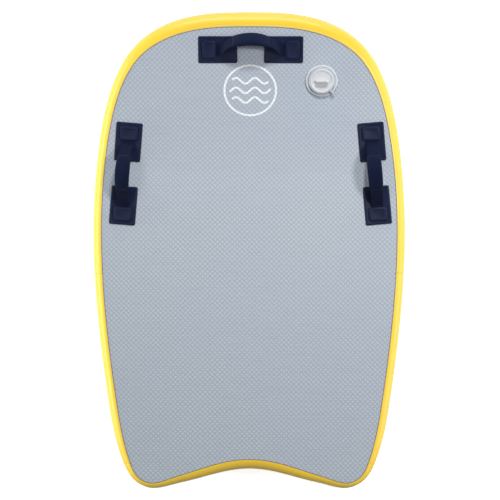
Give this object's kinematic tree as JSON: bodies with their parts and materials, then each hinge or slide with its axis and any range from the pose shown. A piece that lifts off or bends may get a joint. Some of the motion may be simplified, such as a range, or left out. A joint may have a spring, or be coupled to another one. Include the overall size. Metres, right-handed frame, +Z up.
{
  "type": "inflatable bodyboard",
  "caption": "Inflatable drop-stitch bodyboard with swelling rails, a turned-up nose, a crescent tail, padded webbing grab handles and a push-pin air valve with a screw cap.",
  "frame": {"origin": "on the surface the board lies on, under the middle of its length and width", "axes": "+Y to the nose, +Z up off the deck, +X to the rider's right"},
  "size_m": [0.6704, 1.0155, 0.1587],
  "materials": {
    "rail_pvc": "glossy yellow PVC tape",
    "deck_pad": "matt grey, diamond embossed",
    "bottom_pvc": "smooth white PVC",
    "skin_pvc": "PVC-coated fabric",
    "inner_pvc": "PVC-coated fabric",
    "thread": "polyester threads",
    "patch_pvc": "welded PVC, satin",
    "webbing": "woven webbing",
    "grip_foam": "closed-cell foam",
    "grip_cloth": "neoprene-faced cloth",
    "valve_plastic": "moulded nylon, satin",
    "nut_plastic": "moulded nylon",
    "pin_plastic": "moulded acetal",
    "seal_rubber": "soft seal",
    "tether_rubber": "soft moulded leash",
    "spring_steel": "stainless wire"
  },
  "bodies": {
    "board": {"drop_threads": "thread", "top_skin": "skin_pvc", "bottom_skin": "skin_pvc", "inner_sidewall_front": "inner_pvc", "inner_sidewall_rear": "inner_pvc", "nose_rail_tape": "rail_pvc", "left_rail_tape": "rail_pvc", "right_rail_tape": "rail_pvc", "tail_rail_tape": "rail_pvc", "deck_pad": "deck_pad", "bottom_slick": "bottom_pvc", "nose_handle_patch_a": "patch_pvc", "nose_handle_patch_b": "patch_pvc", "nose_handle_cover_a": "patch_pvc", "nose_handle_cover_b": "patch_pvc", "left_handle_patch_a": "patch_pvc", "left_handle_patch_b": "patch_pvc", "left_handle_cover_a": "patch_pvc", "left_handle_cover_b": "patch_pvc", "right_handle_patch_a": "patch_pvc", "right_handle_patch_b": "patch_pvc", "right_handle_cover_a": "patch_pvc", "right_handle_cover_b": "patch_pvc", "valve_body": "valve_plastic", "valve_backing_nut": "nut_plastic", "valve_gasket": "seal_rubber"},
    "nose_grip": {"nose_handle_webbing": "webbing", "nose_handle_grip_foam": "grip_foam", "nose_handle_grip_sleeve": "grip_cloth"},
    "left_grip": {"left_handle_webbing": "webbing", "left_handle_grip_foam": "grip_foam", "left_handle_grip_sleeve": "grip_cloth"},
    "right_grip": {"right_handle_webbing": "webbing", "right_handle_grip_foam": "grip_foam", "right_handle_grip_sleeve": "grip_cloth"},
    "cap_leash": {"cap_tether": "tether_rubber"},
    "cap": {"valve_cap": "valve_plastic", "cap_seal": "seal_rubber"},
    "pin_spring": {"valve_spring": "spring_steel"},
    "push_pin": {"valve_push_pin": "pin_plastic", "valve_poppet": "seal_rubber"}
  },
  "joints": [
    {"name": "nose_grip_swing", "type": "hinge", "parent": "board", "child": "nose_grip", "pos_m": [0.003, 0.42299, 0.11673], "axis": [1, 0, 0], "range_deg": [-9, 101], "stiffness_Nm_per_rad": 0.3, "deforming": ["nose_handle_webbing"]},
    {"name": "left_grip_swing", "type": "hinge", "parent": "board", "child": "left_grip", "pos_m": [-0.262, 0.16577, 0.08203], "axis": [0.0802, 0.9966, 0.0168], "range_deg": [-49, 61], "stiffness_Nm_per_rad": 0.3, "deforming": ["left_handle_webbing"]},
    {"name": "right_grip_swing", "type": "hinge", "parent": "board", "child": "right_grip", "pos_m": [0.266, 0.16577, 0.08202], "axis": [-0.0891, 0.9959, 0.0167], "range_deg": [-50.5, 59.5], "stiffness_Nm_per_rad": 0.3, "deforming": ["right_handle_webbing"]},
    {"name": "cap_lift", "type": "slide", "parent": "board", "child": "cap_leash", "axis": [0, -0.209, 0.9779], "range_m": [0, 0.045], "deforming": ["cap_tether"]},
    {"name": "cap_turn", "type": "hinge", "parent": "cap_leash", "child": "cap", "pos_m": [0.1525, 0.35856, 0.10759], "axis": [0, -0.209, 0.9779], "range_deg": [0, 90]},
    {"name": "pin_press", "type": "slide", "parent": "board", "child": "pin_spring", "axis": [0, 0.209, -0.9779], "range_m": [0, 0.005], "stiffness_N_per_m": 400, "springref_m": -0.002, "deforming": ["valve_spring"]},
    {"name": "pin_turn", "type": "hinge", "parent": "pin_spring", "child": "push_pin", "pos_m": [0.1525, 0.36065, 0.09781], "axis": [0, -0.209, 0.9779], "range_deg": [0, 90]}
  ]
}
